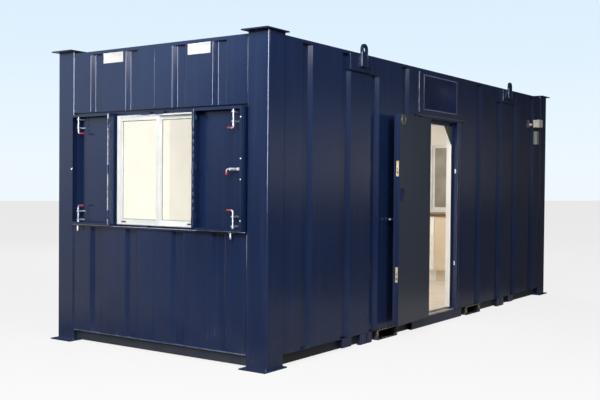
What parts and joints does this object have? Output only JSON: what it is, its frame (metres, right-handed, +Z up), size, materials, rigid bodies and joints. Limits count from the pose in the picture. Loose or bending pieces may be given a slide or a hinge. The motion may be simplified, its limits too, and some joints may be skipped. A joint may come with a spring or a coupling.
{
  "type": "portable site cabin",
  "caption": "Portable steel site cabin with profiled cladding, folded corner posts, an outward opening steel door, a shuttered gable window, lifting eyes and fork pockets",
  "frame": {"origin": "outer corner of the front left corner post, on the underside of its foot plate", "axes": "+X along the front to the right, +Y from the front to the back, +Z up"},
  "size_m": [6.296, 2.564, 2.6649],
  "materials": {
    "navy_paint": "gloss navy enamel on folded steel",
    "dark_paint": "dark chassis paint on the base and roof steel",
    "lining": "cream vinyl faced lining board",
    "upvc": "white uPVC window profile",
    "glass": "clear double glazing",
    "aluminium": "mill finish aluminium strip",
    "brass": "brass lock forend, slightly dulled",
    "zinc": "bright zinc plated rod and plate",
    "cream_plastic": "cream moulded inlet box",
    "grey_plastic": "grey moulded trunking",
    "black_rubber": "black rubber buffer",
    "floor_vinyl": "beige sheet vinyl on a plywood deck",
    "worktop": "brown laminated worktop",
    "unit_board": "white and pale wood faced unit board",
    "plywood": "unit carcass board"
  },
  "bodies": {
    "cabin": {"back_cladding": "navy_paint", "back_rail": "dark_paint", "back_wall": "lining", "base_unit": "plywood", "ceiling": "lining", "corner_post_back_left": "navy_paint", "corner_post_back_right": "navy_paint", "corner_post_front_left": "navy_paint", "corner_post_front_right": "navy_paint", "door_gusset": "navy_paint", "door_head": "navy_paint", "door_hinge_pins": "navy_paint", "door_holdback": "black_rubber", "door_jamb_left": "navy_paint", "door_jamb_right": "navy_paint", "door_sill": "dark_paint", "drip_channel": "navy_paint", "end_rails": "dark_paint", "floor": "floor_vinyl", "floor_joists": "dark_paint", "fork_pockets": "dark_paint", "front_cladding_left": "navy_paint", "front_cladding_right": "navy_paint", "front_rail": "dark_paint", "front_wall_left": "lining", "front_wall_over_door": "lining", "front_wall_right": "lining", "inlet_box": "cream_plastic", "inlet_trunking": "grey_plastic", "left_gable_cladding": "navy_paint", "left_gable_wall": "lining", "left_window_frame": "upvc", "left_window_glass": "glass", "lifting_points_back": "navy_paint", "lifting_points_front": "navy_paint", "over_door_panel": "navy_paint", "rail_brackets": "dark_paint", "right_gable_cladding": "navy_paint", "right_gable_shutters": "navy_paint", "right_gable_wall": "lining", "right_window_frame": "upvc", "right_window_glass": "glass", "roof_rails": "dark_paint", "roof_sheet": "dark_paint", "shutter_hinge_strips": "navy_paint", "strike_plates": "zinc", "threshold": "aluminium", "unit_doors": "unit_board", "worktop": "worktop"},
    "door": {"door_leaf": "navy_paint", "door_hinge_leaves": "navy_paint", "lock_plates": "brass", "door_furniture": "navy_paint"},
    "shutter_left": {"shutter_left": "navy_paint", "shutter_left_bolts": "zinc"},
    "shutter_right": {"shutter_right": "navy_paint", "shutter_right_bolts": "zinc"}
  },
  "joints": [
    {"name": "door_hinge", "type": "hinge", "parent": "cabin", "child": "door", "pos_m": [2.556, -0.028, 1.106], "axis": [0, 0, 1], "range_deg": [0, 176.4]},
    {"name": "shutter_left_hinge", "type": "hinge", "parent": "cabin", "child": "shutter_left", "pos_m": [-0.055, 1.69, 1.542], "axis": [0, 0, 1], "range_deg": [0, 180]},
    {"name": "shutter_right_hinge", "type": "hinge", "parent": "cabin", "child": "shutter_right", "pos_m": [-0.055, 0.71, 1.542], "axis": [0, 0, -1], "range_deg": [0, 180]}
  ]
}
